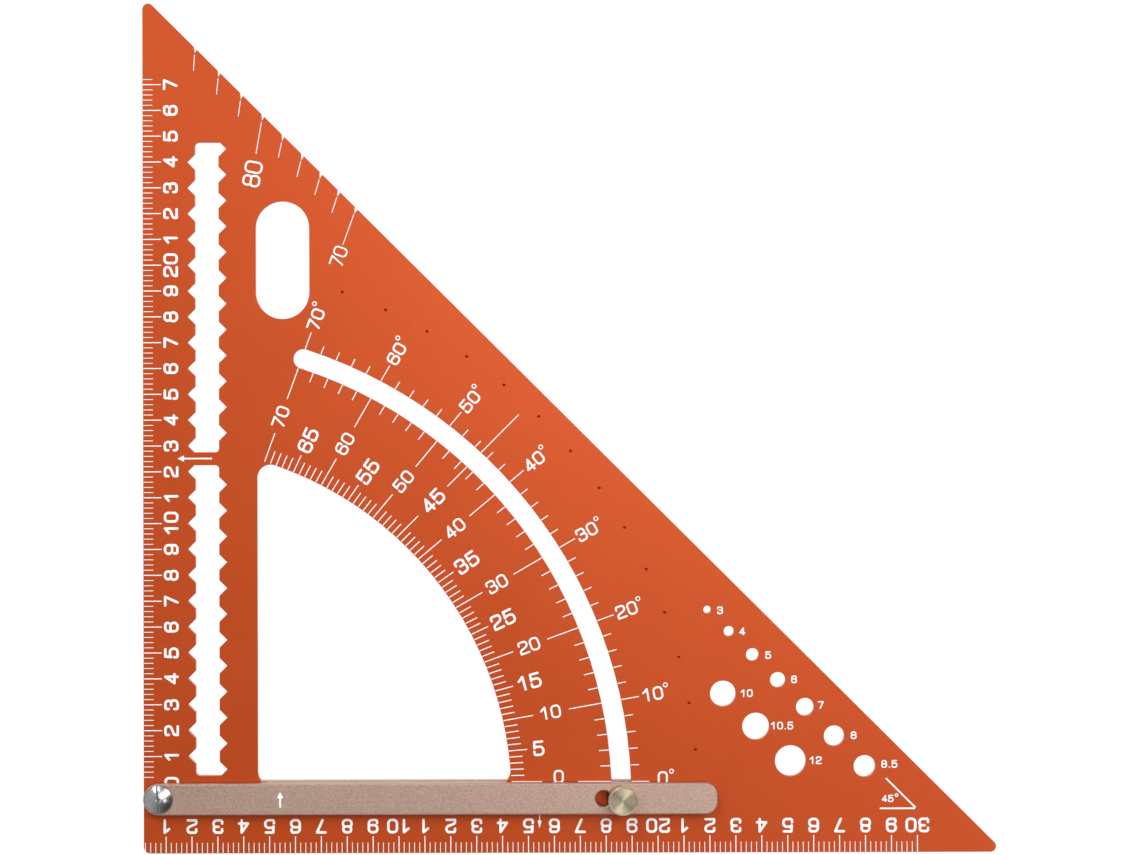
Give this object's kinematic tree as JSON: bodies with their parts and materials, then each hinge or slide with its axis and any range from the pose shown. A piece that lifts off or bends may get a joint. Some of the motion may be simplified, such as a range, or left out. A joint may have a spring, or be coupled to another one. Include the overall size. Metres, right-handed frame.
{
  "type": "adjustable set square",
  "caption": "Triangular layout square with scales, toothed marking slots and gauge holes; a two-bar arm swings on a corner pivot, clicks into detents and locks in a curved slot.",
  "frame": {"origin": "middle of the plate's outline in plan, level with the underside of the lower bar", "axes": "+X along the bottom leg away from the right-angled corner, +Y up the left leg, +Z out of the printed face"},
  "size_m": [0.3288, 0.3288, 0.0189],
  "materials": {
    "orange_anodised": "satin anodised orange, fine blasted grain",
    "champagne_anodised": "bead blasted, champagne anodised, bright bevels",
    "brass": "turned and knurled, pale",
    "polished_steel": "polished",
    "plain_steel": "turned, zinc plated",
    "spring_steel": "drawn wire",
    "bronze": "sintered, oiled",
    "white_acetal": "smooth",
    "black_acetal": "smooth",
    "white_ink": "laser-marked white lines and figures"
  },
  "bodies": {
    "plate": {"square_plate": "orange_anodised", "pivot_bush": "bronze"},
    "arm": {"arm_upper_bar": "champagne_anodised", "arm_lower_bar": "champagne_anodised", "pivot_screw": "polished_steel", "pivot_washer_upper": "white_acetal", "pivot_washer_lower": "white_acetal", "slot_guide_upper": "black_acetal", "slot_guide_lower": "black_acetal", "lock_insert": "plain_steel", "detent_sleeve": "plain_steel", "detent_spring": "spring_steel"},
    "lock_washer": {"lock_washer": "brass"},
    "lock_knob": {"lock_knob": "brass", "lock_stud": "plain_steel"},
    "detent_ball": {"detent_ball": "polished_steel"}
  },
  "joints": [
    {"name": "arm_swing", "type": "hinge", "parent": "plate", "child": "arm", "pos_m": [-0.15829, -0.14304, 0.0045], "axis": [0, 0, 1], "range_deg": [0, 70]},
    {"name": "lock_lift", "type": "slide", "parent": "arm", "child": "lock_washer", "axis": [0, 0, 1], "range_m": [0, 0.0008]},
    {"name": "lock_turn", "type": "hinge", "parent": "lock_washer", "child": "lock_knob", "pos_m": [0.02018, -0.14304, 0.01286], "axis": [0, 0, 1], "range_deg": [0, 360]},
    {"name": "detent_drop", "type": "slide", "parent": "arm", "child": "detent_ball", "axis": [0, 0, -1], "range_m": [0, 0.00018], "stiffness_N_per_m": 200, "deforming": ["detent_spring"]}
  ],
  "couplings": [
    {"joint": "lock_turn", "follows": "lock_lift", "rad_per_m": 7854}
  ]
}
